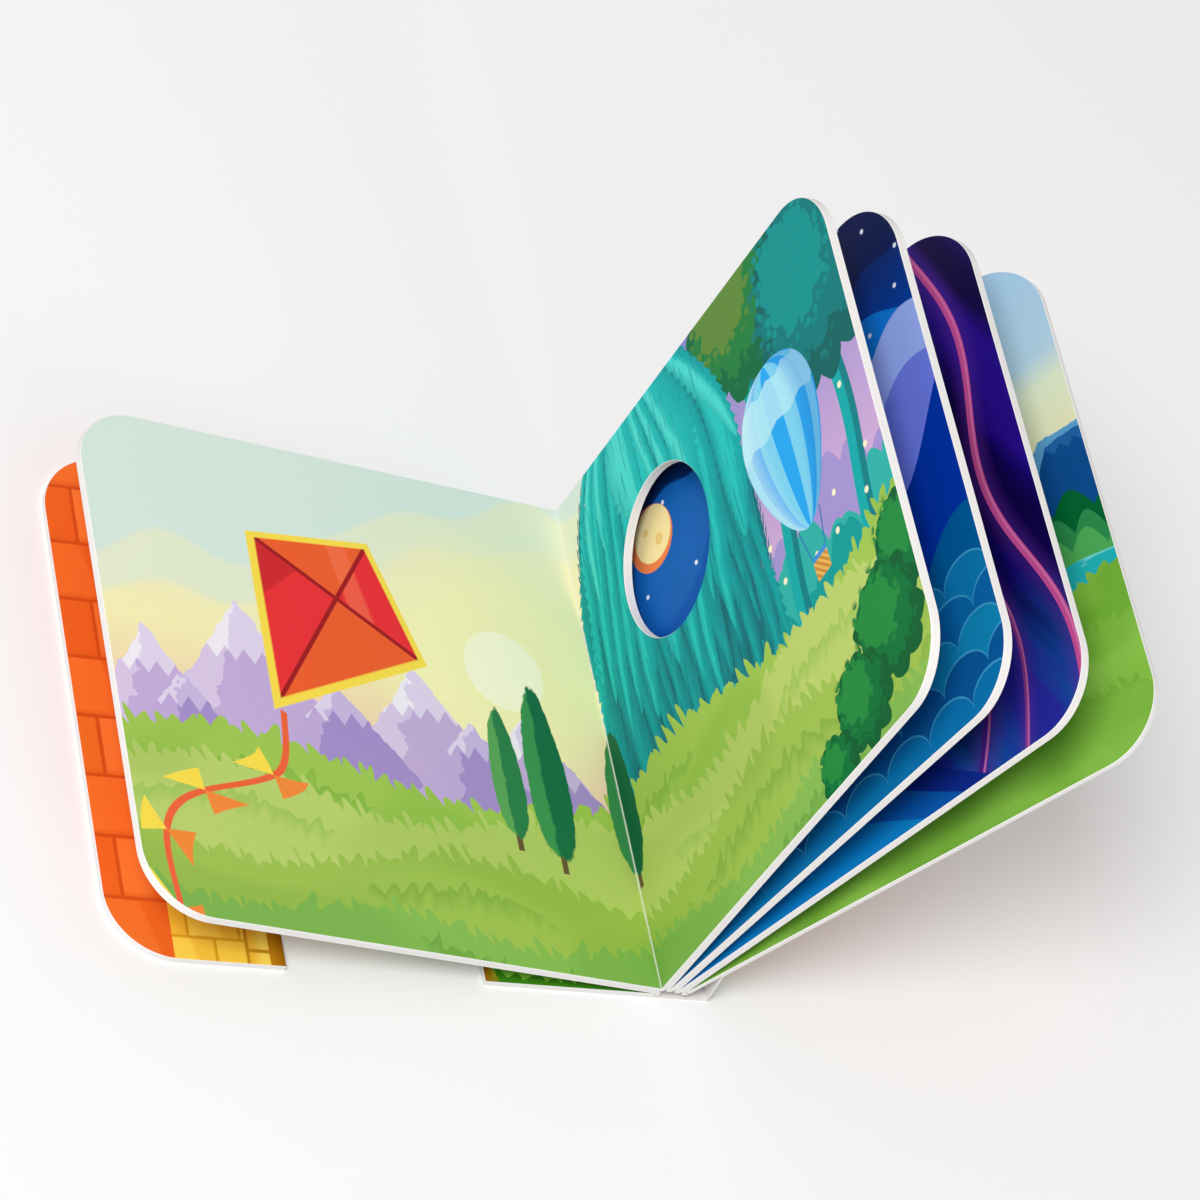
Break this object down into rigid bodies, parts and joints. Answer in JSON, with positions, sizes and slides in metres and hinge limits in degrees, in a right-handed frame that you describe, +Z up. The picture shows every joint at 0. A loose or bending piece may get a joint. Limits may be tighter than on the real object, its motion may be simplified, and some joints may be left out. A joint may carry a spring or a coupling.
{
  "type": "board book",
  "caption": "Square board book with round corners, standing open on its front cover, with thick printed leaves, a round peep window and a gateway cut in the cover.",
  "frame": {"origin": "middle of the floor of the book's box, on the underside of the front cover that lies flat", "axes": "+Z up from the surface it rests on, +X from the front cover's fore edge towards the back cover, +Y up the page along the gutter"},
  "size_m": [0.2282, 0.1524, 0.1563],
  "materials": {
    "page_board": "satin",
    "front_board": "satin",
    "back_board": "satin",
    "wrap_card": "satin"
  },
  "bodies": {
    "pages": {"pages": "page_board", "spine": "wrap_card"},
    "front_cover": {"front_cover": "front_board"},
    "back_cover": {"back_cover": "back_board"}
  },
  "joints": [
    {"name": "front_cover_hinge", "type": "hinge", "parent": "pages", "child": "front_cover", "pos_m": [0.03789, 0, 0.00175], "axis": [0, -1, 0], "range_deg": [-7.2, 140], "deforming": ["spine"]},
    {"name": "back_cover_hinge", "type": "hinge", "parent": "pages", "child": "back_cover", "pos_m": [0.04591, 0, 0.00331], "axis": [0, 1, 0], "range_deg": [-10, 64], "deforming": ["spine"]}
  ]
}
